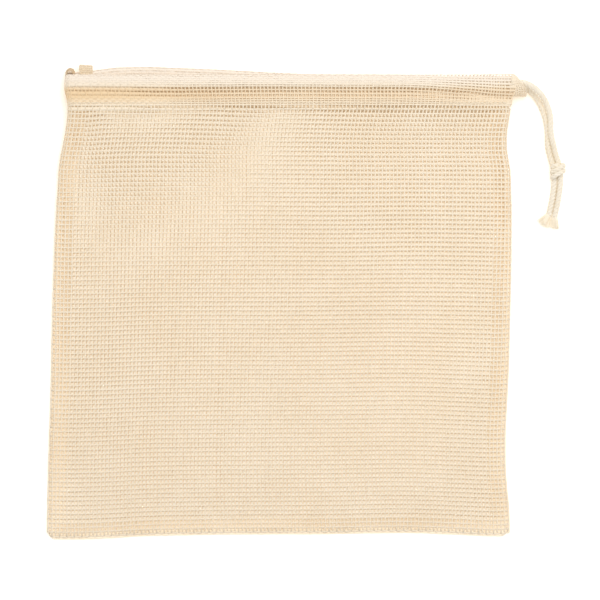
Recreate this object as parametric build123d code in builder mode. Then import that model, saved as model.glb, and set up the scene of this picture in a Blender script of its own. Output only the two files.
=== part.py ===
from build123d import *
from math import pi
import os

# Cotton mesh produce bag with a drawstring, lying flat: +Z up, +Y towards the mouth,
# +X towards the side where the drawstring comes out.
# The origin is the middle of the bag's underside. All sizes are in millimetres.

# Cloth and cord
cloth = 0.8  # thickness of the mesh cloth
cord_diameter = 3.6
cord_clearance = 0.3  # room between the cord and the casing's walls, all round
cord_gap = 0.3  # room between the two cords where they lie side by side
thread_height = 0.3  # sewing thread, as it lies on the cloth
thread_width = 0.6

# Outline of the bag
overall_length = 309.4  # bottom edge to the highest point of the back casing
bottom_left = -157.2  # x of the left edge at the bottom
mouth_left = -143.8  # x of the left edge at the mouth
bottom_right = 145.0
mouth_right = 146.1
lip_reach = 10.9  # how far the pulled-out lip stands past the mouth's right edge
corner_cut = 4.0  # how much the bottom corners are taken off

# Casing: the turned-over hem that holds the drawstring
casing_depth = 21.3
back_casing_rise = 6.6  # how much higher the back casing stands at its left end
mouth_gap = 4.8  # height of the slit between the two casings
fold_radius = 2.4  # rounding of the casing's folded edge
hem_radius = 2.2  # rounding of the casing's sewn edge

# Crown of the front panel
crown_inset = 54.0  # width of the slope between the side and the middle
crown_height = 11.4  # top of the middle where it starts to slope to the bottom seam
crown_end = 84.7  # from the bottom edge to that place

# Seams
side_seam_width = 3.0
bottom_seam_width = 8.0
stitch_inset = 3.0  # from the casing's sewn edge to its row of stitches

# Drawstring
cord_setback = 5.1  # from the front casing's fold to the cord's centre line
turn_setback = 3.0  # from the casing's left end to the outside of the cord's turn
slot_length = 16.0  # slit in the casings' inner walls that the turn passes through
slot_width = 6.0

# Knot and frayed ends
knot_width = 10.6
knot_length = 13.7
fray_length = 8.6
fray_radius = 3.3
fray_heading_a = -90.0
fray_heading_b = -116.0

# Both cords outside the casing, as points of the line midway between them. Each row is
# x and y from the exit, the heading in degrees, how far the two are spread side by side,
# and how high the undersides of cord a and cord b are above the surface.
FREE_ROUTE = [
    (0.0, 0.0, 0, 0.0, None, None),
    (6.0, 0.0, -10, 0.0, None, None),
    (12.0, -2.6, -32, 0.45, 9.8, 1.1),
    (17.4, -7.6, -50, 0.85, 6.4, 0.6),
    (21.4, -14.6, -66, 1.0, 3.1, 0.15),
    (23.9, -23.2, -79, 1.0, 0.8, 0.1),
    (24.4, -32.4, -88, 1.0, 0.15, 0.1),
    (25.4, -41.4, -81, 1.0, 0.1, 0.1),
    (27.3, -48.6, -75, 1.0, 0.5, 0.3),
    (29.1, -54.2, -74, 1.0, 2.2, 1.6),
]
TAIL_ROUTE = [
    (29.8, -60.6, -90, 1.0, 2.2, 1.6),
    (29.8, -66.7, -92, 1.0, 0.6, 0.4),
    (28.8, -74.5, -97, 1.0, 0.1, 0.1),
    (27.5, -81.2, -101, 1.0, 0.1, 0.1),
    (26.2, -86.6, -103, 1.0, 0.1, 0.1),
]
SPLIT_AFTER = 2  # the free ends begin halfway along the run after this point
KNOT_AT = (29.7, -57.4)

# Derived places
cord_radius = cord_diameter / 2
channel_height = cord_diameter + 2 * cord_clearance
casing_height = channel_height + 2 * cloth
back_cord_z = casing_height / 2
front_casing_z = casing_height + mouth_gap
front_cord_z = front_casing_z + casing_height / 2
mouth_z = front_cord_z + cloth / 2  # top of the front panel at the mouth
seam_z = 3 * cloth  # top of the front panel at the bottom edge, over the seam allowance
y_bottom = -overall_length / 2
y_crown = y_bottom + crown_end
y_fold = overall_length / 2 - back_casing_rise
y_hem = y_fold - casing_depth
y_cord = y_fold - cord_setback
turn_radius = (front_cord_z - back_cord_z) / 2
x_turn = mouth_left + turn_setback + cord_radius + turn_radius
exit_point = Vector(mouth_right, y_cord, 0)
cord_pitch = cord_diameter + cord_gap


def edge_x(side, y):
    """x of the bag's left or right edge at y."""
    at_bottom, at_mouth = side
    return at_bottom + (at_mouth - at_bottom) * (y - y_bottom) / (y_hem - y_bottom)


LEFT = (bottom_left, mouth_left)
RIGHT = (bottom_right, mouth_right)


def save(part, name):
    """Label a finished piece and write it."""
    part.label = name
    export_step(part, f"parts/{name}.step")


os.makedirs("parts", exist_ok=True)


# ---------------------------------------------------------------- panels
def outline(left_rise):
    """Corners of a panel whose mouth edge stands left_rise higher at its left end."""
    return [
        (edge_x(LEFT, y_bottom + corner_cut), y_bottom + corner_cut),
        (edge_x(LEFT, y_bottom) + corner_cut, y_bottom),
        (edge_x(RIGHT, y_bottom) - corner_cut, y_bottom),
        (edge_x(RIGHT, y_bottom + corner_cut), y_bottom + corner_cut),
        (mouth_right, y_hem),
        (mouth_left, y_hem + left_rise),
    ]


with BuildPart() as back_panel:
    with BuildSketch(Plane.XY):
        with BuildLine():
            Polyline(*outline(back_casing_rise), close=True)
        make_face()
    extrude(amount=cloth)
save(back_panel.part, "back_panel")


def upward_plane(first, second, third):
    """The plane through three points, facing up."""
    along = Vector(*second) - Vector(*first)
    normal = along.cross(Vector(*third) - Vector(*first))
    return Plane(first, x_dir=along, z_dir=normal * (1 if normal.Z > 0 else -1))


# The front panel's upper face is the lowest of four planes
crown_planes = [
    upward_plane((0, y_hem, mouth_z), (1, y_hem, mouth_z), (0, y_crown, crown_height)),
    upward_plane((0, y_bottom, seam_z), (1, y_bottom, seam_z), (0, y_crown, crown_height)),
]
for side, inset in [(LEFT, crown_inset), (RIGHT, -crown_inset)]:
    crown_planes.append(
        upward_plane(
            (edge_x(side, y_bottom), y_bottom, seam_z),
            (edge_x(side, y_hem), y_hem, mouth_z),
            (edge_x(side, y_crown) + inset, y_crown, crown_height),
        )
    )

with BuildPart() as crown:
    with BuildSketch(Plane.XY):
        with BuildLine():
            Polyline(*outline(0), close=True)
        make_face()
    extrude(amount=2 * mouth_z)
    for plane in crown_planes:
        split(bisect_by=plane, keep=Keep.BOTTOM)
inside = Pos(0, 0, -cloth) * crown.part  # everything below the front panel's cloth

with BuildPart() as front_panel:
    add(crown.part)
    add(inside, mode=Mode.SUBTRACT)
save(front_panel.part, "front_panel")


# ---------------------------------------------------------------- casings
casing_length = mouth_right - mouth_left
left_end = Plane((mouth_left, 0, 0), x_dir=(0, 1, 0), z_dir=(1, 0, 0))
slot_centre = mouth_left + slot_length / 2

with BuildPart() as front_casing:
    with BuildSketch(left_end):
        with Locations((y_hem + casing_depth / 2, front_cord_z)):
            outer = Rectangle(casing_depth, casing_height)
        fillet(outer.vertices().group_by(Axis.Y)[-1], fold_radius)
        fillet(outer.vertices().group_by(Axis.Y)[0], hem_radius)
        with Locations((y_hem + casing_depth / 2, front_cord_z)):
            RectangleRounded(
                casing_depth - 2 * cloth,
                channel_height,
                fold_radius - cloth,
                mode=Mode.SUBTRACT,
            )
    extrude(amount=casing_length)
    with Locations((slot_centre, y_cord, front_casing_z + cloth / 2)):
        Box(slot_length, slot_width, 2 * cloth, mode=Mode.SUBTRACT)
save(front_casing.part, "front_casing")

with BuildPart() as back_casing:
    with BuildSketch(left_end):
        with Locations((y_hem + back_casing_rise + casing_depth / 2, back_cord_z)):
            outer = Rectangle(casing_depth, casing_height)
        fillet(outer.vertices().group_by(Axis.Y)[-1], fold_radius)
        fillet(outer.vertices().group_by(Axis.Y)[0].sort_by(Axis.Z)[-1], hem_radius)
        with Locations((y_hem + back_casing_rise + casing_depth / 2, back_cord_z)):
            RectangleRounded(
                casing_depth - 2 * cloth,
                channel_height,
                fold_radius - cloth,
                mode=Mode.SUBTRACT,
            )
    slant = Vector(casing_length, -back_casing_rise, 0)
    extrude(amount=slant.length, dir=slant)
    with Locations((slot_centre, y_cord, casing_height - cloth / 2)):
        Box(slot_length, slot_width, 2 * cloth, mode=Mode.SUBTRACT)
    # The lip: the corner of the casing that the cords pull out
    with BuildSketch(Plane.XY):
        with BuildLine():
            Polyline(
                (mouth_right, y_fold - fold_radius),
                (mouth_right + lip_reach, y_cord - 2 * cloth),
                (mouth_right + lip_reach, y_cord - 2 * cord_pitch),
                (mouth_right, y_hem + casing_depth / 4),
                close=True,
            )
        make_face()
    extrude(amount=cloth)
save(back_casing.part, "back_casing")


# ---------------------------------------------------------------- seams
def strip_along(side, near, far, y0, y1):
    """Corners of a strip that follows a side edge, between two distances inside it."""
    inward = 1 if side is LEFT else -1
    corners = [(near, y0), (near, y1), (far, y1), (far, y0)]
    return [(edge_x(side, y) + inward * distance, y) for distance, y in corners]


# The overlocked seams fill the space between the two panels' edges, and their thread
# runs along their inner faces
y_side_seam = y_bottom + bottom_seam_width
for name, side in [("left", LEFT), ("right", RIGHT)]:
    with BuildPart() as side_seam:
        with BuildSketch(Plane.XY.offset(cloth)):
            with BuildLine():
                Polyline(*strip_along(side, 0, side_seam_width, y_side_seam, y_hem), close=True)
            make_face()
        extrude(amount=mouth_z)
        add(inside, mode=Mode.INTERSECT)
    save(side_seam.part, f"{name}_side_seam")

    thread_edge = side_seam_width + thread_width
    with BuildPart() as side_thread:
        with BuildSketch(Plane.XY.offset(cloth)):
            with BuildLine():
                Polyline(
                    *strip_along(side, side_seam_width, thread_edge, y_side_seam, y_hem),
                    close=True,
                )
            make_face()
        extrude(amount=thread_height)
    save(side_thread.part, f"{name}_seam_thread")

with BuildPart() as bottom_seam:
    with BuildSketch(Plane.XY.offset(cloth)):
        with BuildLine():
            Polyline(
                *outline(0)[:4],
                (edge_x(RIGHT, y_side_seam), y_side_seam),
                (edge_x(LEFT, y_side_seam), y_side_seam),
                close=True,
            )
        make_face()
    extrude(amount=mouth_z)
    add(inside, mode=Mode.INTERSECT)
save(bottom_seam.part, "bottom_seam")

thread_ends = [
    edge_x(LEFT, y_side_seam) + side_seam_width + 2 * thread_width,
    edge_x(RIGHT, y_side_seam) - side_seam_width - 2 * thread_width,
]
with BuildPart() as bottom_seam_thread:
    with BuildSketch(Plane.XY.offset(cloth)):
        with Locations((sum(thread_ends) / 2, y_side_seam + thread_width / 2)):
            Rectangle(thread_ends[1] - thread_ends[0], thread_width)
    extrude(amount=thread_height)
save(bottom_seam_thread.part, "bottom_seam_thread")

# Rows of stitches that close the casings
with BuildPart() as front_hem_stitching:
    with BuildSketch(Plane.XY.offset(front_casing_z + casing_height)):
        with Locations(((mouth_left + mouth_right) / 2, y_hem + stitch_inset)):
            Rectangle(casing_length, thread_width)
    extrude(amount=thread_height)
save(front_hem_stitching.part, "front_hem_stitching")

with BuildPart() as back_hem_stitching:
    with BuildSketch(Plane.XY.offset(casing_height)):
        with BuildLine():
            y_left, y_right = y_hem + back_casing_rise + stitch_inset, y_hem + stitch_inset
            Polyline(
                (mouth_left, y_left),
                (mouth_right, y_right),
                (mouth_right, y_right + thread_width),
                (mouth_left, y_left + thread_width),
                close=True,
            )
        make_face()
    extrude(amount=thread_height)
save(back_hem_stitching.part, "back_hem_stitching")


# ---------------------------------------------------------------- drawstring
def corner_radii(points, title):
    """The radius of each corner's arc: as large as 0.45 of its shorter run allows."""
    radii = []
    for before, corner, after in zip(points, points[1:], points[2:]):
        arriving, leaving = corner - before, after - corner
        half_turn = (Rot(0, 0, arriving.get_angle(leaving) / 2) * Pos(1, 0, 0)).position
        shorter = min(arriving.length, leaving.length)
        radii.append(0.45 * shorter * half_turn.X / half_turn.Y)
    print(title, "radii", [round(r, 1) for r in radii])
    return radii


def save_cord(points, radii, name):
    """Write the tube along straight runs joined by arcs, and print its volume."""
    with BuildLine() as line:
        FilletPolyline(*points, radius=radii)
    path = line.wire()
    with BuildPart() as tube:
        with BuildSketch(Plane(path @ 0, z_dir=path % 0)):
            Circle(cord_radius)
        sweep(path=path)
    expected = pi * cord_radius**2 * path.length
    print(name, "volume", round(tube.part.volume, 2), "expected", round(expected, 2))
    save(tube.part, name)


def strand_points(route, sign):
    """The points of cord a (sign 1) or cord b (sign -1) along a route."""
    run_z = front_cord_z if sign > 0 else back_cord_z
    points = []
    for x, y, heading, spread, lift_a, lift_b in route:
        lift = lift_a if sign > 0 else lift_b
        aside = (Rot(0, 0, heading) * Pos(0, sign * spread * cord_pitch / 2, 0)).position
        z = run_z if lift is None else lift + cord_radius
        points.append(exit_point + Vector(x, y, z) + aside)
    return points


for name, z in [("drawstring_front_run", front_cord_z), ("drawstring_back_run", back_cord_z)]:
    with BuildPart() as run:
        with BuildSketch(Plane((x_turn, y_cord, z), z_dir=(1, 0, 0))):
            Circle(cord_radius)
        extrude(amount=mouth_right - x_turn)
    save(run.part, name)

with BuildPart() as drawstring_turn:
    with BuildSketch(Plane((x_turn, y_cord, back_cord_z), z_dir=(-1, 0, 0))):
        Circle(cord_radius)
    with BuildLine():
        ThreePointArc(
            (x_turn, y_cord, back_cord_z),
            (x_turn - turn_radius, y_cord, back_cord_z + turn_radius),
            (x_turn, y_cord, front_cord_z),
        )
    sweep()
save(drawstring_turn.part, "drawstring_turn")

for letter, sign, fray_heading in [("a", 1, fray_heading_a), ("b", -1, fray_heading_b)]:
    route = strand_points(FREE_ROUTE, sign)
    radii = corner_radii(route, f"cord {letter}")
    halfway = (route[SPLIT_AFTER] + route[SPLIT_AFTER + 1]) / 2
    inner, outer = route[: SPLIT_AFTER + 1], route[SPLIT_AFTER + 1 :]
    save_cord([*inner, halfway], radii[:SPLIT_AFTER], f"exit_cord_{letter}")
    save_cord([halfway, *outer], radii[SPLIT_AFTER:], f"free_cord_{letter}")
    tail = strand_points(TAIL_ROUTE, sign)
    tail_radii = corner_radii(tail, f"tail {letter}")
    save_cord(tail, tail_radii, f"cord_tail_{letter}")

    # The end of the cord comes apart into a brush that rests on the surface
    rise = (Rot(0, 0, fray_heading) * Pos(fray_length, 0, fray_radius - cord_radius)).position
    with BuildPart() as fray:
        with BuildSketch(Plane(tail[-1], z_dir=(tail[-1] - tail[-2]))):
            Circle(cord_radius)
        with BuildSketch(Plane(tail[-1] + rise, z_dir=rise)):
            Circle(fray_radius)
        loft()
    save(fray.part, f"frayed_end_{letter}")

# Overhand knot tied in both cords together
with BuildPart() as stopper_knot:
    centre = exit_point + Vector(*KNOT_AT, knot_width / 2)
    with BuildSketch(Plane(centre, x_dir=(1, 0, 0), z_dir=(0, 0, 1))):
        Ellipse(knot_width / 2, knot_length / 2)
        with Locations((-knot_width / 2, 0)):
            Rectangle(knot_width, 2 * knot_length, mode=Mode.SUBTRACT)
    revolve(axis=Axis(centre, (0, 1, 0)))
save(stopper_knot.part, "stopper_knot")
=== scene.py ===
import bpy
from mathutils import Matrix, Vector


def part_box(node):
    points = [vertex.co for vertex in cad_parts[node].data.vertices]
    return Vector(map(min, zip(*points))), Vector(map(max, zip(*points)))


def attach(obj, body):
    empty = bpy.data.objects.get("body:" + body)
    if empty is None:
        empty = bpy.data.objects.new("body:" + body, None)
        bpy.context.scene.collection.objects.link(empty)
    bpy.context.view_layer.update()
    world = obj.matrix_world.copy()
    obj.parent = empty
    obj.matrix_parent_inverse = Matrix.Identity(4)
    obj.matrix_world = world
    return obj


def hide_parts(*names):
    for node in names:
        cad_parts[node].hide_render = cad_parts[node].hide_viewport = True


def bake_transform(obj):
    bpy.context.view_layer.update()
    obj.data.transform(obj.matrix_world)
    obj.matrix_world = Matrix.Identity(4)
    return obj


bl_info = {
    "name": "Mesh Produce Bag",
    "version": (1, 0, 0),
    "blender": (4, 5, 0),
    "location": "3D View > Sidebar > Produce Bag",
    "description": "Builds a cotton mesh produce bag with a drawstring around its frame",
    "category": "Add Mesh",
}

import bpy
import numpy as np
from mathutils import Vector

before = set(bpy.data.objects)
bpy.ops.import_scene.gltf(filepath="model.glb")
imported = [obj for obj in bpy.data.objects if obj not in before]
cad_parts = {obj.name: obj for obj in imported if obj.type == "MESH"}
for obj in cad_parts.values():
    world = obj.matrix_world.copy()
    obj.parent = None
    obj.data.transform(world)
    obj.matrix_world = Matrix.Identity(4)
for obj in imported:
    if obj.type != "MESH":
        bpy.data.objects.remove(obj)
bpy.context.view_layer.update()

MM = 0.001

# Places and sizes that come from the frame, in metres
CASING_LO, CASING_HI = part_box("front_casing")
RUN_LO, RUN_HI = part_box("drawstring_front_run")
BACK_RUN_LO, BACK_RUN_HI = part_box("drawstring_back_run")
KNOT_LO, KNOT_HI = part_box("stopper_knot")
BOTTOM_LO, BOTTOM_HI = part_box("bottom_seam")
PANEL_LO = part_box("back_panel")[0]

CORD_DIAMETER = RUN_HI.z - RUN_LO.z
CORD_RADIUS = CORD_DIAMETER / 2
CORD_GAP = 0.3 * MM  # between the two cords where they lie side by side
CORD_PITCH = CORD_DIAMETER + CORD_GAP
Y_FOLD = CASING_HI.y
Y_HEM = CASING_LO.y
Y_BOTTOM = PANEL_LO.y
X_LEFT_MOUTH, X_RIGHT_MOUTH = CASING_LO.x, CASING_HI.x
X_LEFT_BOTTOM, X_RIGHT_BOTTOM = BOTTOM_LO.x, BOTTOM_HI.x
CORD_Y = (RUN_LO.y + RUN_HI.y) / 2
FRONT_Z = (RUN_LO.z + RUN_HI.z) / 2
BACK_Z = (BACK_RUN_LO.z + BACK_RUN_HI.z) / 2
EXIT = Vector((X_RIGHT_MOUTH, CORD_Y, 0))

# Both cords outside the casing, in millimetres, as points of the line midway between
# them: x and y from the exit, the heading in degrees, how far the two are spread side by
# side (where that is less than 1, cord a lies over cord b), and how high the undersides of
# cord a and cord b are above the surface, or None where they are still in the casing
FREE_ROUTE = [
    (0.0, 0.0, 0, 0.0, None, None),
    (6.0, -0.7, -13, 0.25, None, None),
    (11.7, -3.5, -35, 0.7, 9.8, 1.1),
    (17.1, -8.0, -51, 0.84, 6.4, 0.6),
    (21.3, -14.7, -66, 0.95, 3.6, 0.15),
    (23.9, -23.2, -79, 0.8, 3.1, 0.1),
    (24.4, -32.4, -88, 0.35, 3.7, 0.1),
    (25.4, -41.4, -81, 1.0, 1.0, 0.1),
    (27.3, -48.6, -75, 1.0, 0.5, 0.3),
    (29.1, -54.2, -74, 1.0, 2.2, 1.6),
    (29.8, -60.6, -90, 1.0, 2.2, 1.6),
    (29.8, -66.7, -92, 1.0, 0.6, 0.4),
    (28.8, -74.5, -97, 1.0, 0.1, 0.1),
    (27.5, -81.2, -101, 1.0, 0.1, 0.1),
    (26.2, -86.6, -103, 1.0, 0.1, 0.1),
]

# How far the bag's edges bow from the frame's straight ones, in millimetres, against the
# share of the way from the mouth's fold to the bottom
LEFT_BOW = [
    (0, -0.4), (0.03, -1.2), (0.065, 0.9), (0.1, 0.7), (0.14, -0.7), (0.18, -2.6),
    (0.26, -3.5), (0.48, -3.5), (0.7, -2.0), (0.87, -1.2), (1, -0.2),
]
RIGHT_BOW = [
    (0, 0), (0.04, 0), (0.08, -1.4), (0.13, -3.4), (0.16, -3.3), (0.2, -1.2),
    (0.26, -0.3), (0.4, 0), (0.6, -0.9), (0.86, -2.6), (0.95, -0.3), (1, 0),
]
# How far the bottom edge stands above its lowest point, across the bag
BOTTOM_RISE = [
    (0, 0.2), (0.05, 0.1), (0.11, 0.6), (0.2, 2.1), (0.35, 3.1), (0.6, 3.6),
    (0.8, 4.2), (0.9, 3.0), (0.96, 2.2), (1, 2.4),
]
# Height of the front cloth, in millimetres, from the hem to the bottom
CROWN = [(0, 13.4), (0.12, 11.2), (0.3, 9.2), (0.55, 8.0), (0.78, 6.6), (0.92, 4.4), (1, 2.2)]
EDGE = [(0, 13.0), (0.08, 10.0), (0.2, 6.8), (0.4, 4.4), (0.7, 3.0), (1, 2.0)]
# Height of the line where the two panels meet
SEAM = [(0, 7.6), (0.08, 5.4), (0.2, 3.6), (0.4, 2.3), (0.7, 1.6), (1, 1.2)]

# Section of a casing, in millimetres: y from the hem and z from the cord inside it, up
# the outside, over the fold, down the inside, and up where the raw edge is turned in
CASING_PROFILE = [
    (-1.5, -0.1), (1.4, 0.6), (3.5, 1.0), (6, 1.0), (9, 0.85), (11.5, 1.1), (13.5, 2.0),
    (15.4, 2.4), (17.4, 2.3), (19.4, 1.6), (20.7, 0.3), (20.5, -1.0), (19, -2.0),
    (16.5, -2.4), (13.5, -2.0), (11, -1.1), (8, -0.75), (4, -0.65), (1.2, -0.5),
    (0.6, -0.25), (3, 0.05), (6.6, 0.15), (11, 0.1),
]
# Places of the weft threads up its outside: close in the hem and by the fold
CASING_ROWS = [-1.5, 1.4, 2.9, 4.3, 5.7, 8.3, 10.9, 13.2, 14.6, 15.9, 17.2, 18.5, 19.7]
# The fold that slants down to the exit starts this far above the hem, and falls this far
PULLED_FROM, PULL = 12.6, 5.6
# The middle of the cloth that the cords pull out at the exit is this far above the hem
EXIT_AT = 11.5
# Distance between the weft threads on a casing's inside, and the cloth turned in there
INSIDE_PITCH = 2.3 * MM
# How far the back net's openings are moved against the front net's, in openings
BACK_SLIDE = (0.12, 0.22)
# How far the crossings of a net stray from their places
WANDER = 0.05 * MM
# How far the back casing lies above the front one, across the bag
BACK_RISE = [
    (0, 1.5), (0.03, 2.0), (0.07, 3.4), (0.12, 5.2), (0.17, 5.6), (0.27, 4.6), (0.5, 1.3),
    (0.62, 0), (1, -0.5),
]
# Places of the warp threads in the side seam allowance, and of the weft threads in the
# bottom one, from the edge
ALLOWANCE = [0.0, 1.1, 2.2, 3.4, 5.6, 8.0, 10.4]
BOTTOM_ALLOWANCE = [0.0, 1.2, 2.4, 3.6, 6.4, 9.2]
# The funnel of cloth at the exit, from its upper edge round below the cords: its ends at
# the casing and at its tip, in millimetres from the exit
EXIT_NEAR = [
    (-0.5, 4.6, 14.8), (-0.6, 1.5, 16.4), (-0.8, -2.4, 16.4), (-1.0, -6.2, 14.8),
    (-1.0, -9.0, 11.6), (-0.8, -9.2, 7.4), (-0.4, -7.4, 3.2), (0, -3.0, 0.6),
]
EXIT_FAR = [
    (1.4, 4.2, 14.8), (3.4, 1.8, 16.3), (5.8, -1.4, 16.4), (7.9, -4.0, 15.0),
    (8.9, -6.6, 11.0), (9.0, -8.6, 6.6), (8.8, -8.2, 2.6), (8.4, -4.4, 0.5),
]
# The rolled corner at the mouth's left end, in millimetres from the casing's end
CURL = [(-0.6, -3.0), (-0.9, 0.2), (-0.4, 2.6), (1.4, 4.3), (3.6, 3.9), (5.0, 1.6), (5.6, -0.6)]


# ---------------------------------------------------------------- small helpers
def smooth(t):
    """Ease from 0 to 1."""
    t = np.clip(t, 0, 1)
    return t * t * (3 - 2 * t)


def through(points, at):
    """A smooth curve through given (place, value) points, read at many places."""
    place, value = np.array(points, float).T
    slope = np.gradient(value, place)
    i = np.clip(np.searchsorted(place, at) - 1, 0, len(place) - 2)
    span = place[i + 1] - place[i]
    t = np.clip((at - place[i]) / span, 0, 1)
    return (
        (2 * t**3 - 3 * t**2 + 1) * value[i]
        + (t**3 - 2 * t**2 + t) * span * slope[i]
        + (3 * t**2 - 2 * t**3) * value[i + 1]
        + (t**3 - t**2) * span * slope[i + 1]
    )


def through_line(line, at):
    """The same for a line's points, read at numbers that count from its first point."""
    knots = np.arange(len(line))
    return [through(np.stack([knots, part], axis=1), at) for part in np.array(line).T]


def unit(vectors):
    """Vectors scaled to length 1."""
    return vectors / np.maximum(np.linalg.norm(vectors, axis=-1, keepdims=True), 1e-12)


def resampled(points, spacing):
    """A line's points, evenly spaced at about that distance."""
    points = np.asarray(points, float)
    along = np.r_[0, np.cumsum(np.linalg.norm(np.diff(points, axis=0), axis=1))]
    places = np.linspace(0, along[-1], max(2, round(along[-1] / spacing) + 1))
    return np.stack([np.interp(places, along, points[:, k]) for k in range(3)], axis=1)


def line_frames(line):
    """A line's directions, with two crossing directions that turn with it without twist."""
    along = unit(np.gradient(line, axis=0))
    side = np.zeros_like(line)
    side[0] = unit(np.cross(along[0], [0.1, 0.2, 1]))
    for k in range(1, len(line)):
        side[k] = unit(side[k - 1] - along[k] * (side[k - 1] @ along[k]))
    return along, side, np.cross(along, side)


# ---------------------------------------------------------------- meshes
def thread_mesh(points, across, up, half_width, half_height, sides):
    """Closed tubes along threads, with an even number of sides. points, across and up are
    (threads, steps, 3), and the half sizes are numbers or (threads, steps). Gives
    vertices, quads and each quad's places along and around its thread."""
    count, steps = points.shape[:2]
    turn = np.arange(sides) * 2 * np.pi / sides + np.pi / sides
    wide = np.broadcast_to(half_width, (count, steps))[..., None, None]
    high = np.broadcast_to(half_height, (count, steps))[..., None, None]
    ring = (
        points[:, :, None]
        + across[:, :, None] * np.cos(turn)[:, None] * wide
        + up[:, :, None] * np.sin(turn)[:, None] * high
    )
    vertices = ring.reshape(-1, 3)
    along = np.diff(points, axis=1)
    facing_out = np.sum(np.cross(across, up)[:, 1:] * along) > 0
    index = np.arange(count * steps * sides).reshape(count, steps, sides)
    here, there = index[:, :-1], index[:, 1:]
    nexts = np.roll(np.arange(sides), -1)
    walls = np.stack([here, here[..., nexts], there[..., nexts], there], axis=-1)
    caps = []
    for k in range(1, sides - 2, 2):
        corners = [0, k, k + 1, k + 2]
        caps += [index[:, 0][:, corners[::-1]], index[:, -1][:, corners]]
    quads = np.concatenate([walls.reshape(-1, 4), *caps])
    if not facing_out:
        quads = quads[:, ::-1]
    length = np.linalg.norm(along, axis=2)
    along = np.concatenate([np.zeros((count, 1)), np.cumsum(length, axis=1)], axis=1)
    a0, a1, r0 = (np.broadcast_to(part, walls.shape[:3]) for part in (
        along[:, :-1, None], along[:, 1:, None], np.arange(sides) / sides))
    r1 = r0 + 1 / sides
    twist = np.stack(
        [np.stack(pair, axis=-1) for pair in [(a0, r0), (a0, r1), (a1, r1), (a1, r0)]],
        axis=-2,
    ).reshape(-1, 4, 2)
    twist = np.concatenate([twist, np.zeros((sum(len(c) for c in caps), 4, 2))])
    if not facing_out:
        twist = twist[:, ::-1]
    return vertices, quads, twist


def joined(parts):
    """Several thread meshes as one."""
    vertices, quads, twist, first = [], [], [], 0
    for v, q, t in parts:
        vertices.append(v)
        quads.append(q + first)
        twist.append(t)
        first += len(v)
    return np.concatenate(vertices), np.concatenate(quads), np.concatenate(twist)


def new_piece(name, parts, material, body=None):
    """One mesh object made of thread meshes, with a flat map and a map along its threads."""
    vertices, quads, twist = joined(parts)
    mesh = bpy.data.meshes.new(name)
    mesh.vertices.add(len(vertices))
    mesh.vertices.foreach_set("co", vertices.astype(np.float32).ravel())
    mesh.loops.add(quads.size)
    mesh.loops.foreach_set("vertex_index", quads.astype(np.int32).ravel())
    mesh.polygons.add(len(quads))
    mesh.polygons.foreach_set("loop_start", np.arange(0, quads.size, 4, dtype=np.int32))
    mesh.update(calc_edges=True)
    mesh.polygons.foreach_set("use_smooth", np.ones(len(quads), bool))
    flat = mesh.uv_layers.new(name="OFBake")
    low = vertices.min(axis=0)
    size = (vertices.max(axis=0) - low)[:2].max()
    flat_places = ((vertices - low) / size)[:, :2][quads]
    flat.data.foreach_set("uv", flat_places.astype(np.float32).ravel())
    along = mesh.uv_layers.new(name="Thread")
    along.data.foreach_set("uv", (twist * [1000, 1]).astype(np.float32).ravel())
    mesh.materials.append(material)
    piece = bpy.data.objects.new(name, mesh)
    bpy.context.scene.collection.objects.link(piece)
    if body:
        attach(piece, body)
    return piece


# ---------------------------------------------------------------- materials
# Colour of the painted glow: emission on the cotton itself, standing in for light that scatters
# through thin cotton
GLOW_COLOUR = (1.0, 0.80, 0.56)
# Painted highlight colour along the casing's fold, and painted shade colour along its hem
FOLD_PAINTED_HIGHLIGHT = (0.865, 0.77, 0.66)
HEM_PAINTED_SHADE = (0.80, 0.60, 0.37)


class Wire:
    """A node's output that takes part in Python expressions."""

    def __init__(self, shader, socket):
        self.shader, self.socket = shader, socket

    def math(self, operation, *values):
        return self.shader.node("ShaderNodeMath", {"operation": operation}, list(values))

    def __add__(self, other):
        return self.math("ADD", self, other)

    __radd__ = __add__

    def __mul__(self, other):
        return self.math("MULTIPLY", self, other)

    __rmul__ = __mul__

    def __sub__(self, other):
        return self.math("SUBTRACT", self, other)

    def __rsub__(self, other):
        return self.math("SUBTRACT", other, self)

    def sine(self):
        return self.math("SINE", self)

    def between(self, low, high):
        """0 below low, 1 above high, and even between them."""
        return self.shader.node(
            "ShaderNodeMapRange", {"clamp": True}, [self, low, high, 0.0, 1.0]
        )


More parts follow.
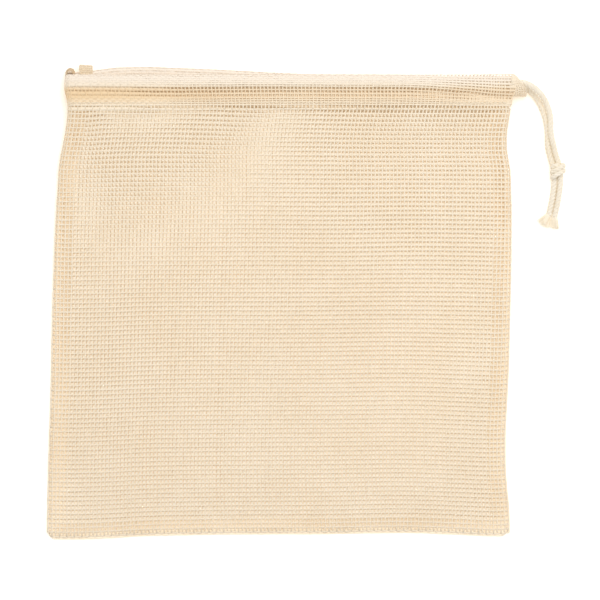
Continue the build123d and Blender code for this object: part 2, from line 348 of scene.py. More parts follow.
class Shader:
    """A material with one Principled shader, built node by node."""

    def __init__(self, name, constants):
        self.material = bpy.data.materials.new(name)
        self.material.use_nodes = True
        self.tree = self.material.node_tree
        self.surface = self.tree.nodes["Principled BSDF"]
        for socket, value in constants.items():
            self.surface.inputs[socket].default_value = value

    def connect(self, socket, value):
        if isinstance(value, Wire):
            self.tree.links.new(value.socket, socket)
        elif value is not None:
            socket.default_value = value

    def node(self, kind, settings=None, values=(), named=None, output=0):
        made = self.tree.nodes.new(kind)
        for key, value in (settings or {}).items():
            setattr(made, key, value)
        for socket, value in zip(made.inputs, values):
            self.connect(socket, value)
        for key, value in (named or {}).items():
            self.connect(made.inputs[key], value)
        return Wire(self, made.outputs[output])

    def place(self):
        """The object's own coordinates, in metres."""
        return self.node("ShaderNodeTexCoord", output=3)

    def split(self, vector, count):
        """The first count parts of a vector."""
        parts = self.node("ShaderNodeSeparateXYZ", values=[vector]).socket.node
        return [Wire(self, parts.outputs[k]) for k in range(count)]

    def cloud(self, scale, detail=2.0, roughness=0.5):
        """Soft noise from 0 to 1, with about scale lumps in a metre."""
        return self.node(
            "ShaderNodeTexNoise",
            named={"Vector": self.place(), "Scale": scale, "Detail": detail,
                   "Roughness": roughness},
        )

    def mixed(self, factor, first, second):
        """Two colours mixed by a factor."""
        return self.node("ShaderNodeMix", {"data_type": "RGBA"},
                         named={0: factor, 6: first, 7: second}, output=2)

    def finish(self, colour, roughness, height, distance):
        """Link the surface's colour, roughness and relief."""
        self.connect(self.surface.inputs["Base Color"], colour)
        self.connect(self.surface.inputs["Roughness"], roughness)
        bump = self.node(
            "ShaderNodeBump", named={"Height": height, "Distance": distance, "Strength": 1.0}
        )
        self.connect(self.surface.inputs["Normal"], bump)
        return self.material


def casing_painted_light(shader, base):
    """Cotton with a painted highlight along the casing's fold, and painted shade along its hem,
    the more so towards its left end."""
    x, y = shader.split(shader.place(), 2)
    # a painted highlight along the fold; hem paints shade along the hem, and left makes that shade
    # deeper towards the left end
    fold_highlight = y.between(Y_HEM + 12.5 * MM, Y_HEM + 18 * MM)
    hem = y.between(Y_HEM + 1 * MM, Y_HEM + 6 * MM)
    hem = hem * (1 - y.between(Y_HEM + 11 * MM, Y_HEM + 13.5 * MM))
    left = 1 - 0.55 * x.between(X_LEFT_MOUTH + 20 * MM, X_LEFT_MOUTH + 130 * MM)
    base = shader.mixed(hem * left, base, (*HEM_PAINTED_SHADE, 1))
    return shader.mixed(fold_highlight, base, (*FOLD_PAINTED_HIGHLIGHT, 1))


def yarn_material(name, colour, shade, lay, depth, sheen=0.1, glow=0.0, painted_light=None):
    """Spun cotton: a twisted yarn with slubs, soft fuzz and uneven colour, with painted shade in
    its grooves and a painted glow.
    lay is the yarn's twist length in millimetres, and depth the twist's relief."""
    found = bpy.data.materials.get(name)
    if found:
        return found
    # Emission Strength (glow) is a painted glow: the cotton gives off light of its own
    shader = Shader(
        name,
        {"Sheen Weight": sheen, "Sheen Roughness": 0.6, "Specular IOR Level": 0.15,
         "Emission Color": (*GLOW_COLOUR, 1), "Emission Strength": glow},
    )
    places = shader.node("ShaderNodeUVMap", {"uv_map": "Thread"})
    along, around = shader.split(places, 2)
    ply = ((along * (1 / lay) + around) * (2 * np.pi * 2)).sine() * 0.5 + 0.5
    patches = shader.cloud(28, 3.0)
    slubs = shader.cloud(420, 2.0)
    fuzz = shader.cloud(5200, 3.0, 0.7)
    tone_and_groove_shade = patches.between(0.35, 0.65) * 0.35 + slubs.between(0.3, 0.7) * 0.35
    # (1 - ply) puts the shade colour in the twist's grooves, which is painted shade; patches, slubs
    # and fuzz are the cotton's own uneven tone
    tone_and_groove_shade = tone_and_groove_shade + (1 - ply) * 0.18 + fuzz.between(0.35, 0.75) * 0.12
    base = shader.mixed(tone_and_groove_shade, (*colour, 1), (*shade, 1))
    if painted_light:
        base = painted_light(shader, base)
    height = ply * 0.6 + fuzz * 0.4
    roughness = slubs.between(0, 1) * 0.1 + 0.85
    return shader.finish(base, roughness, height, depth)


# ---------------------------------------------------------------- the cloth's shape
def edge_x(y, side):
    """x of the bag's left (0) or right (1) edge at y."""
    share = (Y_FOLD - y) / (Y_FOLD - Y_BOTTOM)
    down = np.clip((Y_HEM - y) / (Y_HEM - Y_BOTTOM), 0, 1)
    if side == 0:
        straight = X_LEFT_MOUTH + (X_LEFT_BOTTOM - X_LEFT_MOUTH) * down
        return straight + through(LEFT_BOW, np.clip(share, 0, 1)) * MM
    straight = X_RIGHT_MOUTH + (X_RIGHT_BOTTOM - X_RIGHT_MOUTH) * down
    return straight + through(RIGHT_BOW, np.clip(share, 0, 1)) * MM


def bottom_y(u):
    """y of the bag's bottom edge at a share of the way across."""
    return Y_BOTTOM + through(BOTTOM_RISE, u) * MM


def ripple(x, y, phase):
    """The slight unevenness of cloth that lies loose, from -1 to 1. x and y in metres."""
    return (
        np.sin(x / 0.031 + 1.7 * np.sin(y / 0.045 + phase) + phase)
        + 0.8 * np.sin(y / 0.026 + 1.3 * np.sin(x / 0.038 - phase) + 2 * phase)
        + 0.5 * np.sin((x + y) / 0.017 + 3 * phase)
    ) / 2.3


def corner_softened(x, y, u):
    """Points near the two bottom corners, moved in so that the corners are cut off."""
    cut = 4.2 * MM
    for side in (0, 1):
        inward = 1 if side == 0 else -1
        from_side = (x - edge_x(y, side)) * inward
        short = np.clip(cut - from_side - (y - bottom_y(u)), 0, cut)
        x = x + inward * short * 0.4
        y = y + short * 0.6
    return x, y


def wrapped(across, left, right, drop):
    """How cloth lies across the bag and turns down round the side edges by drop, in a
    quarter of an ellipse: x, the angle it has turned through, and how near the edge is."""
    turn = 0.8 * MM + 0.45 * drop
    bend = np.pi / 2 * np.sqrt((turn**2 + drop**2) / 2)
    width = right - left - 2 * turn + 2 * bend
    arc = across * width
    near = np.minimum(arc, width - arc)
    angle = np.clip(near / bend, 0, 1) * np.pi / 2
    inside = np.where(near < bend, turn * (1 - np.cos(angle)), turn + near - bend)
    return np.where(arc < width / 2, left + inside, right - inside), angle, near


def panel_grid(front, columns, rows, slide):
    """The places where a panel's threads cross, as (rows, columns, 3). slide moves them
    across and down, in openings."""
    u = (np.arange(columns) + 0.5 + slide[0]) / columns
    v = (np.arange(rows) + 0.5 + slide[1]) / rows
    down, across = np.meshgrid(v, u, indexing="ij")
    y = Y_HEM + (bottom_y(across) - Y_HEM) * down
    if not front:
        y = y + through(BACK_RISE, across) * MM * (1 - down) ** 5
    top, edge, seam = (through(list_, down) * MM for list_ in (CROWN, EDGE, SEAM))
    drop = edge - seam if front else seam
    x, angle, near = wrapped(across, edge_x(y, 0), edge_x(y, 1), drop)
    bottom = smooth((1 - down) / 0.02)
    lift = np.sin(angle) * (0.35 + 0.65 * bottom)
    x, y = corner_softened(x, y, across)
    x = x + 0.35 * MM * ripple(x, y, 0.6) * np.sin(angle)
    y = y + 0.35 * MM * ripple(y, x, 2.1) * np.sin(np.pi * down)
    if front:
        crown = edge + (top - edge) * smooth(near / (60 * MM))
        wave = 0.7 * MM * ripple(x, y, 1.1) * smooth(near / (25 * MM)) * np.sin(np.pi * down)
        z = seam + (crown - seam) * lift + wave
    else:
        z = seam - (seam - 0.55 * MM) * lift
        z = z + 0.25 * MM * (1 + ripple(x, y, 4.0)) * np.sin(np.pi * down) * np.sin(angle)
    return np.stack([x, y, z], axis=-1)


def along_profile(profile, rows, spacing):
    """(y, z) places of the weft threads along a casing's section, in metres: those of
    rows on its outside, and evenly spaced from the fold on."""
    place = np.linspace(0, len(profile) - 1, 30 * len(profile))
    y, z = through_line(np.array(profile) * MM, place)
    length = np.r_[0, np.cumsum(np.hypot(np.diff(y), np.diff(z)))]
    fold = np.argmax(y)
    outer = np.interp(np.array(rows) * MM, y[:fold], length[:fold])
    places = np.r_[outer, np.arange(length[fold], length[-1], spacing)]
    return np.interp(places, length, y), np.interp(places, length, z)


def casing_grid(front, columns, spacing):
    """The crossings of a casing's cloth: up its outside, over the fold, down its inside
    and up again where the raw edge is turned in."""
    aside, height = along_profile(CASING_PROFILE, CASING_ROWS, spacing)
    u = (np.arange(columns) + 0.5) / columns
    aside, across = np.meshgrid(aside, u, indexing="ij")
    height = np.broadcast_to(height[:, None], across.shape)
    outside = np.arange(len(aside))[:, None] < np.argmax(aside[:, 0])
    outside = np.broadcast_to(outside, across.shape)
    # the inside's warp threads lie between the outside's
    across = across + np.where(outside, 0, 0.5 / columns)
    left, right = edge_x(Y_HEM + aside, 0), edge_x(Y_HEM + aside, 1)
    if front:
        # towards the exit the cords pull the cloth's outside down into a slanting fold,
        # and at the other end the hem is drawn together in a crease: the fold stands
        # over what lies below it
        pull = smooth((across - 0.70) / 0.30) ** 1.4 * outside
        crease = smooth((0.30 - across) / 0.25) * outside
        share = aside / (PULLED_FROM * MM)
        fall = np.clip(np.where(share < 1, share, 1 - (share - 1) / 0.69), 0, 1)
        aside = aside - PULL * MM * pull * fall + 0.8 * MM * crease * fall
        below = smooth((1.02 - share) / 0.12)
        height = height - (1.0 * pull + 0.5 * crease) * MM * below
        height = height + 0.5 * MM * pull * smooth((share - 1) / 0.1) * (1 - below)
    cord_z = FRONT_Z if front else BACK_Z
    z = cord_z + height if front else cord_z - height
    seam = SEAM[0][1] * MM
    drop = np.abs(z - seam)
    x, angle, _ = wrapped(across, left, right, drop)
    lift = np.where(across < 0.5, np.sin(angle), 1.0)
    flat = right - (1 - across) * (right - left)
    if front:
        drawn = np.exp(-(((aside - EXIT_AT * MM) / (4.5 * MM)) ** 2)) * outside
        flat = flat + 3.0 * MM * drawn * smooth((across - 0.975) / 0.022)
    x = np.where(across < 0.5, x, x + (flat - x) * smooth((across - 0.9) / 0.1))
    z = seam + (z - seam) * lift
    y = Y_HEM + aside + 0.25 * MM * ripple(x, aside * 3, 0.3)
    if not front:
        y = y + through(BACK_RISE, across) * MM
    z = np.clip(z, 0.5 * MM, None)
    return np.stack([x, y, z], axis=-1)


def seam_grid(side, rows):
    """The crossings of the seam allowance that lies inside a side edge: dense at the
    edge, where it is overlocked, and open further in."""
    inward = np.array(ALLOWANCE) * MM
    down = (np.arange(rows) + 0.5) / rows
    y = Y_HEM + (Y_BOTTOM + 3 * MM - Y_HEM) * down
    y, inward = np.broadcast_arrays(y[:, None], inward[None])
    low = 1.25 * MM
    seam, edge = (
        through(heights, (Y_HEM - y) / (Y_HEM - Y_BOTTOM)) * MM for heights in (SEAM, EDGE))
    high = seam + 0.6 * np.maximum(edge - seam - 1.0 * MM, 0) * smooth(inward / (2 * MM))
    z = low + np.maximum(high - low, 0) * (1 - smooth((inward - 3 * MM) / (4 * MM)))
    way = 1 if side == 0 else -1
    x = edge_x(y, side) + way * (inward + 0.35 * MM)
    return np.stack([x, y, z], axis=-1)


def bottom_grid(columns):
    """The crossings of the seam allowance inside the bottom edge."""
    inward = np.array(BOTTOM_ALLOWANCE) * MM
    u = (np.arange(columns) + 0.5) / columns
    x0 = X_LEFT_BOTTOM + 1.2 * MM
    x = x0 + (X_RIGHT_BOTTOM - 1.2 * MM - x0) * u
    inward, x = np.meshgrid(inward, x, indexing="ij")
    y = bottom_y((x - x0) / (X_RIGHT_BOTTOM - x0)) + inward + 0.4 * MM
    x, y = corner_softened(x, y, np.clip((x - x0) / (X_RIGHT_BOTTOM - x0), 0, 1))
    z = 1.15 * MM + 0.15 * MM * np.sin(x / (7 * MM))
    return np.stack([x, y, z], axis=-1)


def exit_grid(rows, columns):
    """The crossings of the funnel of cloth that the cords pull out of the casing."""
    w = np.linspace(0, len(EXIT_NEAR) - 1, rows)
    near, far = (np.stack(through_line(ends, w), axis=1) for ends in (EXIT_NEAR, EXIT_FAR))
    t = np.linspace(0, 1, columns)[None, :, None]
    bent = 1 - (1 - t) ** 2
    grid = near[:, None] + (far - near)[:, None] * np.concatenate([t, bent, t], axis=2)
    return np.array([X_RIGHT_MOUTH, CORD_Y, 0]) + grid * MM


def grid_directions(grid, outward):
    """At each crossing, the directions along the rows, along the columns and out."""
    along_row = unit(np.gradient(grid, axis=1))
    along_column = unit(np.gradient(grid, axis=0))
    out = unit(np.cross(along_row, along_column))
    return along_row, along_column, out * outward


def finer(grid, axis):
    """The grid with a point halfway between each two along one axis."""
    moved = np.moveaxis(grid, axis, 0)
    made = np.empty((2 * len(moved) - 1, *moved.shape[1:]))
    made[::2] = moved
    made[1::2] = (moved[1:] + moved[:-1]) / 2
    return np.moveaxis(made, 0, axis)


def net(grid, outward, settings, seed, fine=True, scale=1.0, weft_scale=1.0):
    """Warp and weft threads through a grid of crossings, over and under each other, with a
    point halfway between two crossings where fine. scale is how wide the threads are, and
    weft_scale how wide the weft is at each crossing."""
    rng = np.random.default_rng(seed)
    grid = grid + rng.normal(0, WANDER, grid.shape) * [1, 1, 0.3]
    row_way, column_way, out = grid_directions(grid, outward)
    rows, columns = grid.shape[:2]
    over = 1 - 2.0 * ((np.arange(rows)[:, None] + np.arange(columns)) % 2)
    crimp = settings.crimp * over[..., None] * out
    parts = []
    for warp in (True, False):
        points = grid + crimp if warp else grid - crimp
        width = (settings.warp_width if warp else settings.weft_width) * scale
        size = np.exp(rng.normal(0, 0.07, (rows, columns)))
        size *= np.exp(rng.normal(0, 0.06, (1, columns) if warp else (rows, 1)))
        wide = size * (1 if warp else weft_scale)
        side = row_way if warp else column_way
        axis = 0 if warp else 1
        if fine:
            points, side, up = finer(points, axis), finer(side, axis), finer(out, axis)
            size, wide = (finer(a[..., None], axis)[..., 0] for a in (size, wide))
        else:
            up = out
        if warp:
            points, side, up = (np.swapaxes(a, 0, 1) for a in (points, side, up))
            size, wide = size.T, wide.T
        parts.append(
            thread_mesh(points, side, up, width / 2 * wide,
                        settings.thread_height / 2 * size, 4)
        )
    return parts


# ---------------------------------------------------------------- settings
class BagClothSettings(bpy.types.PropertyGroup):
    columns: bpy.props.IntProperty(
        name="Columns", description="Mesh openings across the bag", default=124, min=8)
    rows: bpy.props.IntProperty(
        name="Rows", description="Mesh openings from the hem to the bottom", default=94,
        min=8)
    warp_width: bpy.props.FloatProperty(
        name="Warp Width", description="Width of a warp thread", default=1.16 * MM,
        unit="LENGTH")
    weft_width: bpy.props.FloatProperty(
        name="Weft Width", description="Width of a weft thread", default=1.34 * MM,
        unit="LENGTH")
    thread_height: bpy.props.FloatProperty(
        name="Thread Height", description="Thickness of a thread", default=0.6 * MM,
        unit="LENGTH")
    crimp: bpy.props.FloatProperty(
        name="Crimp", description="How far threads go over and under", default=0.16 * MM,
        unit="LENGTH")
    colour: bpy.props.FloatVectorProperty(
        name="Colour", description="Colour of the cotton where it is palest",
        default=(0.90, 0.80, 0.65), subtype="COLOR", size=3)
    shade: bpy.props.FloatVectorProperty(
        name="Shade", description="Colour of the cotton where it is darkest",
        default=(0.85, 0.72, 0.54), subtype="COLOR", size=3)


class BagCordSettings(bpy.types.PropertyGroup):
    strands: bpy.props.IntProperty(
        name="Strands", description="Strands laid round each other in the cord", default=3,
        min=2)
    lay: bpy.props.FloatProperty(
        name="Lay", description="Length of one turn of the strands", default=7.8 * MM,
        unit="LENGTH")
    fibres: bpy.props.IntProperty(
        name="Fibres", description="Loose fibres at each frayed end", default=120, min=10)
    colour: bpy.props.FloatVectorProperty(
        name="Colour", description="Colour of the cord where it is palest",
        default=(0.92, 0.86, 0.755), subtype="COLOR", size=3)
    shade: bpy.props.FloatVectorProperty(
        name="Shade", description="Colour of the cord where it is darkest",
        default=(0.83, 0.73, 0.56), subtype="COLOR", size=3)


class BagStageSettings(bpy.types.PropertyGroup):
    lens: bpy.props.FloatProperty(
        name="Lens", description="Focal length of the camera", default=180.0, min=20)
    view_width: bpy.props.FloatProperty(
        name="View Width", description="Width that the camera sees at the bag",
        default=390.6 * MM, unit="LENGTH")
    floor_colour: bpy.props.FloatVectorProperty(
        name="Floor Colour", description="Colour of the floor", default=(0.97, 0.97, 0.97),
        subtype="COLOR", size=3)
    glow_colour: bpy.props.FloatVectorProperty(
        name="Glow Colour", description="Colour of the light that the floor gives",
        default=(1.0, 0.80, 0.55), subtype="COLOR", size=3)
    floor_glow: bpy.props.FloatProperty(
        name="Floor Glow", description="How brightly the floor gives that light",
        default=0.29, min=0)
    sky: bpy.props.FloatProperty(
        name="Sky", description="Strength of the even light from all round", default=0.71)
    key: bpy.props.FloatProperty(
        name="Key", description="Power of the large soft light", default=7.9)


class BagSettings(bpy.types.PropertyGroup):
    cloth: bpy.props.PointerProperty(type=BagClothSettings)
    cord: bpy.props.PointerProperty(type=BagCordSettings)
    stage: bpy.props.PointerProperty(type=BagStageSettings)


# The cloth's cotton has a painted glow of 0.06
def cloth_material(settings, name="cotton_mesh", glow=0.06, painted_light=None):
    return yarn_material(
        name, settings.colour, settings.shade, 2.2, 0.08 * MM, glow=glow, painted_light=painted_light)


# The cord has a faint painted glow
def cord_material(settings):
    return yarn_material(
        "braided_cotton", settings.colour, settings.shade, 1.6, 0.12 * MM, glow=0.04)


# The sewing thread has a painted glow that lightens it where it lies in shade between layers
def thread_material():
    return yarn_material(
        "sewing_thread", (0.88, 0.81, 0.69), (0.82, 0.72, 0.57), 0.8, 0.05 * MM, glow=0.1)


def sewn(piece, slot, *nodes):
    """Bake a piece of cloth or thread's place into its mesh, and hide the frame nodes that it
    stands for; slot is not used."""
    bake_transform(piece)
    if nodes:
        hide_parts(*nodes)


# ---------------------------------------------------------------- camera and cords
class BAG_OT_camera(bpy.types.Operator):
    """Place the camera straight above the bag"""

    bl_idname = "produce_bag.camera"
    bl_label = "Camera"

    def execute(self, context):
        settings = context.scene.produce_bag.stage
        data = bpy.data.cameras.new("camera")
        data.lens = settings.lens
        camera = bpy.data.objects.new("camera", data)
        context.scene.collection.objects.link(camera)
        height = settings.view_width * data.lens / data.sensor_width
        camera.location = (8.1 * MM, 1.4 * MM, FRONT_Z / 2 + height)
        context.scene.camera = camera
        context.scene.view_settings.view_transform = "Standard"
        return {"FINISHED"}


def strand_points(sign):
    """The points of free cord a (sign 1) or b (sign -1), in metres."""
    points = []
    for x, y, heading, spread, lift_a, lift_b in FREE_ROUTE:
        lift = lift_a if sign > 0 else lift_b
        run_z = FRONT_Z if sign > 0 else BACK_Z
        z = run_z if lift is None else lift * MM + CORD_RADIUS
        turned = np.radians(heading)
        aside = sign * spread * CORD_PITCH / 2
        points.append(
            EXIT
            + Vector((x * MM - np.sin(turned) * aside, y * MM + np.cos(turned) * aside, z))
        )
    return points


def spline_line(points, spacing):
    """Evenly spaced points of the smooth line with those control points."""
    curve = bpy.data.curves.new("route", "CURVE")
    curve.dimensions = "3D"
    spline = curve.splines.new("NURBS")
    spline.points.add(len(points) - 1)
    for point, place in zip(spline.points, points):
        point.co = (*place, 1)
    spline.order_u = 3
    spline.use_endpoint_u = True
    curve.resolution_u = 24
    holder = bpy.data.objects.new("route", curve)
    mesh = bpy.data.meshes.new_from_object(holder)
    places = np.array([v.co for v in mesh.vertices])
    bpy.data.objects.remove(holder)
    bpy.data.curves.remove(curve)
    bpy.data.meshes.remove(mesh)
    return resampled(places, spacing)


def twisted(line, settings, radius, phase=0.0):
    """A cord of strands laid round each other, with a core that fills its middle."""
    _, side, up = line_frames(line)
    done = np.r_[0, np.cumsum(np.linalg.norm(np.diff(line, axis=0), axis=1))]
    count = settings.strands
    strand = radius * 0.56
    middle = radius - strand
    points, across, outward = [], [], []
    for k in range(count):
        angle = 2 * np.pi * (done / settings.lay + k / count) + phase
        out = side * np.cos(angle)[:, None] + up * np.sin(angle)[:, None]
        place = line + out * middle
        points.append(place)
        across.append(unit(np.cross(np.gradient(place, axis=0), out)))
        outward.append(out)
    strands = thread_mesh(
        np.array(points), np.array(across), np.array(outward), strand, strand, 8)
    core = thread_mesh(line[None], side[None], up[None], middle, middle, 6)
    return [strands, core]


class BAG_OT_drawstring(bpy.types.Operator):
    """Lay the cord's two free ends, and its runs and turn inside the casings"""

    bl_idname = "produce_bag.drawstring"
    bl_label = "Drawstring"

    def execute(self, context):
        settings = context.scene.produce_bag.cord
        material = cord_material(settings)
        for letter, sign in (("a", 1), ("b", -1)):
            line = spline_line(strand_points(sign), 0.35 * MM)
            strands = twisted(line, settings, CORD_RADIUS * 1.1, phase=sign)
            cord = new_piece(f"free_end_{letter}", strands, material)
            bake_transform(cord)
            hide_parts(f"exit_cord_{letter}", f"free_cord_{letter}",
                        f"cord_tail_{letter}")
        middle_z = (FRONT_Z + BACK_Z) / 2
        turn_x = RUN_LO.x
        bend = (FRONT_Z - BACK_Z) / 2
        half = np.linspace(-np.pi / 2, np.pi / 2, 24)
        turn = [(turn_x - bend * np.cos(a), CORD_Y, middle_z + bend * np.sin(a)) for a in half]
        right = X_RIGHT_MOUTH + 1 * MM
        held = [(right, CORD_Y, BACK_Z), *turn, (right, CORD_Y, FRONT_Z)]
        line = resampled(held, 0.7 * MM)
        run = new_piece(
            "held_cord", twisted(line, settings, CORD_RADIUS * 0.97), material, "drawstring")
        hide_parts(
            "drawstring_front_run", "drawstring_back_run", "drawstring_turn")
        return {"FINISHED"}


class BAG_OT_knot(bpy.types.Operator):
    """Tie both cords together in an overhand knot"""

    bl_idname = "produce_bag.knot"
    bl_label = "Knot"

    def execute(self, context):
        settings = context.scene.produce_bag.cord
        centre = np.array((KNOT_LO + KNOT_HI) / 2)
        reach = np.array((KNOT_HI - KNOT_LO) / 2) - CORD_RADIUS
        # both cords wind round themselves side by side, and tuck in at the two ends
        turns = np.linspace(-0.95, 0.95, 240)
        tuck = smooth((0.95 - np.abs(turns)) / 0.3)
        parts = []
        for sign in (1, -1):
            angle = 2 * np.pi * (turns + 0.1)
            out = (0.35 + 0.65 * tuck) * (1 + 0.10 * np.sin(angle + 0.8))
            x = reach[0] * out * np.cos(angle)
            z = reach[2] * out * np.sin(angle)
            y = -(3.9 * turns + sign * 1.7) * MM * (0.55 + 0.45 * tuck) + 0.42 * x
            strand = centre + np.stack([x, y * 0.92, z], axis=1)
            strand = resampled(strand, 0.4 * MM)
            parts += twisted(strand, settings, CORD_RADIUS * 0.98, phase=2 * sign)
        knot = new_piece("overhand_knot", parts, cord_material(settings), "free_ends")
        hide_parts("stopper_knot")
        return {"FINISHED"}


class BAG_OT_frays(bpy.types.Operator):
    """Spread the loose fibres at the cord's two cut ends"""

    bl_idname = "produce_bag.frays"
    bl_label = "Frayed ends"

    def execute(self, context):
        settings = context.scene.produce_bag.cord
        # The loose fibres get a painted glow and no sheen
        material = yarn_material(
            "loose_cotton", (0.91, 0.86, 0.76), (0.87, 0.80, 0.65), 1.2, 0.004 * MM,
            sheen=0.0, glow=0.12)
        for letter, sign, lean in (("a", 1, 7), ("b", -1, -22)):
            rng = np.random.default_rng(11 + sign)
            route = strand_points(sign)
            root = np.array(route[-1])
            away = np.array((route[-1] - route[-2]).normalized())
            turned = np.radians(lean)
            away = np.array([
                away[0] * np.cos(turned) - away[1] * np.sin(turned),
                away[0] * np.sin(turned) + away[1] * np.cos(turned), 0.0])
            side = np.array([-away[1], away[0], 0])
            count, steps = settings.fibres, 9
            spin = rng.uniform(0, 2 * np.pi, count)
            out = np.sqrt(rng.uniform(0, 1, count))
            length = rng.uniform(7.0, 10.2, count) * MM
            flare = rng.uniform(0.6, 1.25, count)
            s = np.linspace(0, 1, steps)
            sway = rng.normal(0, 0.5, (2, count)) * MM
            ring = out[:, None] * (1.5 + 2.6 * flare[:, None] * s**1.4) * MM
            sideways = np.cos(spin)[:, None] * ring + sway[0][:, None] * np.sin(3 * s) * s
            upward = np.sin(spin)[:, None] * ring * 0.8 + sway[1][:, None] * s
            forward = (s - 0.18) * length[:, None]
            points = (
                root + forward[..., None] * away + sideways[..., None] * side
                + upward[..., None] * [0, 0, 1])
            points[..., 2] = np.maximum(points[..., 2], 0.18 * MM + 0.06 * MM * (spin[:, None] % 1))
            ways = unit(np.gradient(points, axis=1))
            across = unit(np.cross(ways, [0.2, 0.1, 1]))
            thin = np.linspace(0.24, 0.10, steps) * MM
            fray = new_piece(
                f"fray_{letter}",
                [thread_mesh(points, across, np.cross(across, ways), thin, thin, 4)],
                material, "free_ends")
            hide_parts(f"frayed_end_{letter}")
        for letter, sign in (("a", 1), ("b", -1)):
            points = strand_points(sign)
            [tuple(p) for p in spline_line(points, 1.0 * MM)]
        return {"FINISHED"}


# ---------------------------------------------------------------- cloth pieces
class BAG_OT_panels(bpy.types.Operator):
    """Weave the front and back panels as open mesh"""

    bl_idname = "produce_bag.panels"
    bl_label = "Panels"

    def execute(self, context):
        settings = context.scene.produce_bag.cloth
        material = cloth_material(settings)
        for name, outward, seed, slide, rests in (
                ("front", -1, 1, (0, 0), ["back_mesh"]), ("back", 1, 2, BACK_SLIDE, [])):
            grid = panel_grid(name == "front", settings.columns, settings.rows, slide)
            threads = net(grid, outward, settings, seed, fine=False)
            panel = new_piece(f"{name}_mesh", threads, material)
            sewn(panel, "mesh_cloth", f"{name}_panel")
        return {"FINISHED"}


class BAG_OT_casings(bpy.types.Operator):
    """Fold and hem the cloth round the drawstring at the mouth"""

    bl_idname = "produce_bag.casings"
    bl_label = "Casings"

    def execute(self, context):
        settings = context.scene.produce_bag.cloth
        # The casing's cotton has a painted glow, a painted highlight along its fold and painted
        # shade along its hem
        material = cloth_material(settings, "folded_cotton_mesh", 0.08, casing_painted_light)
        for name, front in (("front", True), ("back", False)):
            grid = casing_grid(front, settings.columns, INSIDE_PITCH)
            seed = 3 if front else 4
            # the cloth is drawn together at the fold
            middle = grid[:, settings.columns // 2]
            outside = np.arange(len(middle)) < len(CASING_ROWS)
            at_fold = middle[:, 1] > middle[:, 1].max() - 7 * MM
            inside = 1.0 if front else 2.4
            weft_scale = np.where(at_fold, np.where(outside, 1.5, inside), 1.0)[:, None]
            # and pressed flat and close at the hem's left end
            across = np.linspace(0, 1, settings.columns)
            in_hem = (outside & ~at_fold)[:, None]
            weft_scale = weft_scale + 1.9 * in_hem * smooth((0.34 - across) / 0.26)
            threads = net(grid, 1, settings, seed, scale=0.95, weft_scale=weft_scale)
            casing = new_piece(f"{name}_casing_mesh", threads, material)
            sewn(casing, "mesh_cloth", f"{name}_casing")
        return {"FINISHED"}


class BAG_OT_exit(bpy.types.Operator):
    """Draw the cloth out into a funnel where the cords leave the casing"""

    bl_idname = "produce_bag.exit"
    bl_label = "Exit"

    def execute(self, context):
        settings = context.scene.produce_bag.cloth
        funnel = new_piece(
            "exit_funnel", net(exit_grid(17, 7), 1, settings, 5, scale=0.95),
            cloth_material(settings), "bag")
        return {"FINISHED"}


class BAG_OT_corner(bpy.types.Operator):
    """Roll the cloth at the mouth's left end into a small curl, with a folded tab"""

    bl_idname = "produce_bag.corner"
    bl_label = "Mouth corner"

    def execute(self, context):
        settings = context.scene.produce_bag.cloth
        x, y = (part * MM for part in through_line(CURL, np.linspace(0, len(CURL) - 1, 14)))
        z = np.linspace(2.0, 8.6, 5)[:, None] * MM + 0 * x
        # it narrows upwards, round its middle
        inward, middle = np.linspace(1.0, 0.66, 5)[:, None], 2.4 * MM
        x = middle + (x - middle) * inward
        curl = np.stack([X_LEFT_MOUTH + x, Y_FOLD + y * inward, z], axis=-1)
        u, v = np.meshgrid(np.linspace(0, 1, 7), np.linspace(0, 1, 7))
        tab = np.stack([
            X_LEFT_MOUTH + (8.6 + 7.8 * u) * MM, Y_FOLD + (6.1 - 8.0 * v - 0.5 * u) * MM,
            (5.9 - 0.8 * u) * MM + 0 * v], axis=-1)
        # The curl and the tab are coloured darker than the cloth: painted shade, for the shadow
        # inside the curl and on the tab
        for name, grid, colour, shade in (
            ("mouth_curl", curl, (0.74, 0.57, 0.37), (0.60, 0.44, 0.27)),
            ("mouth_tab", tab, (0.88, 0.74, 0.55), (0.84, 0.68, 0.47)),
        ):
            piece = new_piece(
                name, net(grid, 1, settings, len(name), scale=1.2),
                yarn_material(f"{name}_cotton", colour, shade, 2.2, 0.08 * MM))
            sewn(piece, "mesh_cloth")
        return {"FINISHED"}


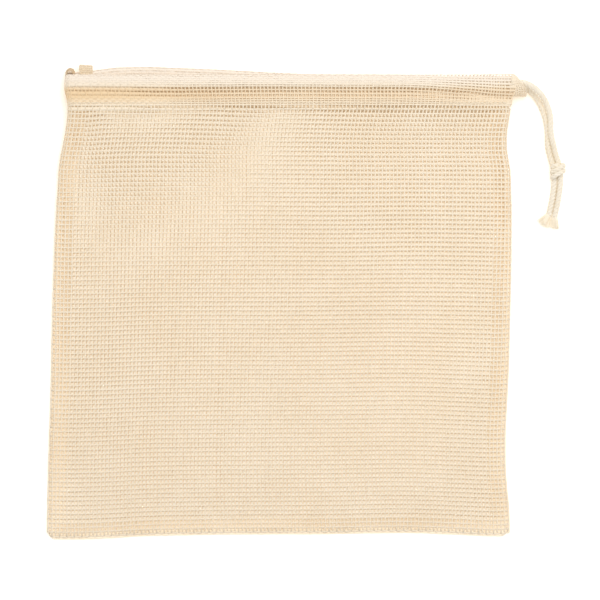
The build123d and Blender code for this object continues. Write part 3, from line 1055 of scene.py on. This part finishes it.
class BAG_OT_seams(bpy.types.Operator):
    """Lay the overlocked seam allowances inside the side and bottom edges"""

    bl_idname = "produce_bag.seams"
    bl_label = "Seams"

    def execute(self, context):
        settings = context.scene.produce_bag.cloth
        # The seam allowances get a strong painted glow that lightens their shade between the layers
        material = cloth_material(settings, "seam_cotton_mesh", 0.22)
        for side, name in enumerate(("left", "right")):
            threads = net(seam_grid(side, settings.rows), 1, settings, 20 + side, fine=False,
                          scale=1.2)
            seam = new_piece(f"{name}_seam_allowance", threads, material)
            sewn(seam, "seam_cloth", f"{name}_side_seam")
            self.overlock(name, side)
        threads = net(bottom_grid(settings.columns), 1, settings, 30, fine=False, scale=1.2)
        seam = new_piece("bottom_seam_allowance", threads, material)
        sewn(seam, "seam_cloth", "bottom_seam")
        self.overlock("bottom", None)
        return {"FINISHED"}

    def overlock(self, name, side):
        """A zigzag of sewing thread over the allowance's edge, at a side (0 or 1) or, with
        None, at the bottom."""
        step, reach, thick = 1.3 * MM, 2.7 * MM, 0.2 * MM
        if side is None:
            place = np.arange(X_LEFT_BOTTOM + 6 * MM, X_RIGHT_BOTTOM - 6 * MM, step)
            share = (place - X_LEFT_BOTTOM) / (X_RIGHT_BOTTOM - X_LEFT_BOTTOM)
        else:
            place = np.arange(Y_BOTTOM + 7 * MM, Y_HEM, step)
        beat = np.arange(len(place)) % 4
        inward = np.choose(beat, [0.1 * MM, reach, reach + 0.5 * MM, 0.3 * MM])
        if side is None:
            points = np.stack(
                [place, bottom_y(share) + inward + 0.4 * MM, 0 * place + 1.3 * MM], axis=1)
        else:
            seam = through(SEAM, (Y_HEM - place) / (Y_HEM - Y_BOTTOM)) * MM
            low = 1.9 * MM
            z = low + np.maximum(seam - low, 0) * np.exp(-inward / (2.6 * MM)) + 0.2 * MM
            way = 1 if side == 0 else -1
            points = np.stack([edge_x(place, side) + way * (inward + 0.3 * MM), place, z],
                              axis=1)
        line = resampled(points, 1.0 * MM)
        _, across, up = line_frames(line)
        loops = thread_mesh(line[None], across[None], up[None], thick, thick, 6)
        thread = new_piece(f"{name}_overlock", [loops], thread_material())
        sewn(thread, "sewing_thread", f"{name}_seam_thread")


class BAG_OT_stitches(bpy.types.Operator):
    """Sew the rows of stitches that close the casings"""

    bl_idname = "produce_bag.stitches"
    bl_label = "Stitches"

    def execute(self, context):
        for name, front in (("front", True), ("back", False)):
            left, right = X_LEFT_MOUTH + 2 * MM, X_RIGHT_MOUTH - 1 * MM
            pitch, steps = 2.9 * MM, 7
            start = np.arange(left, right - pitch, pitch)[:, None]
            s = np.linspace(0, 1, steps)
            x = start + s * pitch * 0.82
            share = (x - X_LEFT_MOUTH) / (X_RIGHT_MOUTH - X_LEFT_MOUTH)
            aside = (2.6 if front else 2.6 + through(BACK_RISE, share)) * MM
            y = Y_HEM + aside + 0.12 * MM * np.sin(start * 900) + 0 * x
            dip = 1.1 * MM * (2 * s - 1) ** 6
            top = 1.4 * MM  # from the cord inside to the top of a stitch
            z = FRONT_Z + top - dip + 0 * x if front else BACK_Z - top + dip + 0 * x
            if not front:
                z = np.maximum(z, 0.3 * MM)
            points = np.stack([x, y, z], axis=-1)
            ways = unit(np.gradient(points, axis=1))
            across = np.broadcast_to([0.0, 1.0, 0.0], points.shape)
            up = unit(np.cross(ways, across))
            stitches = new_piece(
                f"{name}_stitches",
                [thread_mesh(points, across, up, 0.26 * MM, 0.22 * MM, 6)],
                thread_material())
            sewn(stitches, "sewing_thread", f"{name}_hem_stitching")
        return {"FINISHED"}


class BAG_OT_stage(bpy.types.Operator):
    """Lay the floor and set the soft studio light"""

    bl_idname = "produce_bag.stage"
    bl_label = "Floor and light"

    def execute(self, context):
        settings = context.scene.produce_bag.stage
        mesh = bpy.data.meshes.new("floor")
        reach = 4.0
        mesh.from_pydata(
            [(-reach, -reach, 0), (reach, -reach, 0), (reach, reach, 0), (-reach, reach, 0)],
            [], [(0, 1, 2, 3)])
        floor = bpy.data.objects.new("floor", mesh)
        context.scene.collection.objects.link(floor)
        paint = Shader("floor", {
            "Base Color": (*settings.floor_colour, 1), "Roughness": 0.9,
            "Specular IOR Level": 0.1, "Emission Color": (*settings.glow_colour, 1),
            "Emission Strength": settings.floor_glow})
        mesh.materials.append(paint.material)
        world = bpy.data.worlds.new("studio")
        world.use_nodes = True
        background = world.node_tree.nodes["Background"]
        background.inputs["Color"].default_value = (1, 1, 1, 1)
        background.inputs["Strength"].default_value = settings.sky
        context.scene.world = world
        data = bpy.data.lights.new("key", "AREA")
        data.shape = "DISK"
        data.size = 0.9
        data.energy = settings.key
        light = bpy.data.objects.new("key", data)
        light.location = (0.25, 0.45, 1.25)
        light.rotation_euler = (Vector((0, 0, 0.02)) - light.location).to_track_quat(
            "-Z", "Y").to_euler()
        context.scene.collection.objects.link(light)
        return {"FINISHED"}


OPERATORS = [BAG_OT_camera, BAG_OT_drawstring, BAG_OT_knot, BAG_OT_frays, BAG_OT_panels,
             BAG_OT_casings, BAG_OT_exit, BAG_OT_corner, BAG_OT_seams, BAG_OT_stitches,
             BAG_OT_stage]


class BAG_PT_build(bpy.types.Panel):
    """Lists the bag's pieces and their settings"""

    bl_idname = "BAG_PT_build"
    bl_label = "Produce Bag"
    bl_space_type = "VIEW_3D"
    bl_region_type = "UI"
    bl_category = "Produce Bag"

    def draw(self, context):
        for operator in OPERATORS:
            self.layout.operator(operator.bl_idname)
        bag = context.scene.produce_bag
        for group in (bag.cloth, bag.cord, bag.stage):
            for name in group.__annotations__:
                self.layout.prop(group, name)


CLASSES = [BagClothSettings, BagCordSettings, BagStageSettings, BagSettings, *OPERATORS,
           BAG_PT_build]


def register():
    for each in CLASSES:
        bpy.utils.register_class(each)
    bpy.types.Scene.produce_bag = bpy.props.PointerProperty(type=BagSettings)


def unregister():
    del bpy.types.Scene.produce_bag
    for each in reversed(CLASSES):
        bpy.utils.unregister_class(each)


def main():
    register()
    for operator in OPERATORS:
        group, name = operator.bl_idname.split(".")
        getattr(getattr(bpy.ops, group), name)()


if __name__ == "__main__":
    main()
